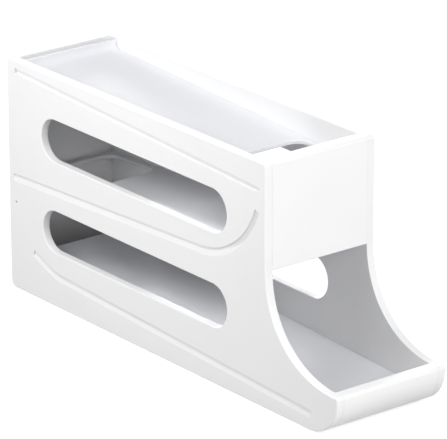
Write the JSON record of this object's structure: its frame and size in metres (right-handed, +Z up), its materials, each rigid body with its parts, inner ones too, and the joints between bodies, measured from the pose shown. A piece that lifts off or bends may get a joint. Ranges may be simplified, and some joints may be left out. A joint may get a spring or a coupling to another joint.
{
  "type": "rolling egg dispenser",
  "caption": "Open-topped white plastic egg dispenser: eggs roll down stacked sloping boards to a stop bar at a low open mouth.",
  "frame": {"origin": "middle of the footprint, on the surface that the dispenser stands on", "axes": "+X towards the open mouth and the stop bar, +Z up, +Y from the near side panel to the far one"},
  "size_m": [0.3218, 0.0818, 0.1511],
  "materials": {
    "side_plastic": "white moulded plastic, soft gloss",
    "panel_plastic": "white moulded plastic, soft gloss",
    "board_plastic": "white moulded plastic, satin"
  },
  "bodies": {
    "root": {"near_side_panel": "side_plastic", "far_side_panel": "side_plastic", "front_panel": "panel_plastic", "back_panel": "panel_plastic", "base_panel": "panel_plastic", "front_stop": "panel_plastic", "top_ramp": "board_plastic", "middle_ramp": "board_plastic", "bottom_ramp": "board_plastic"}
  },
  "joints": []
}
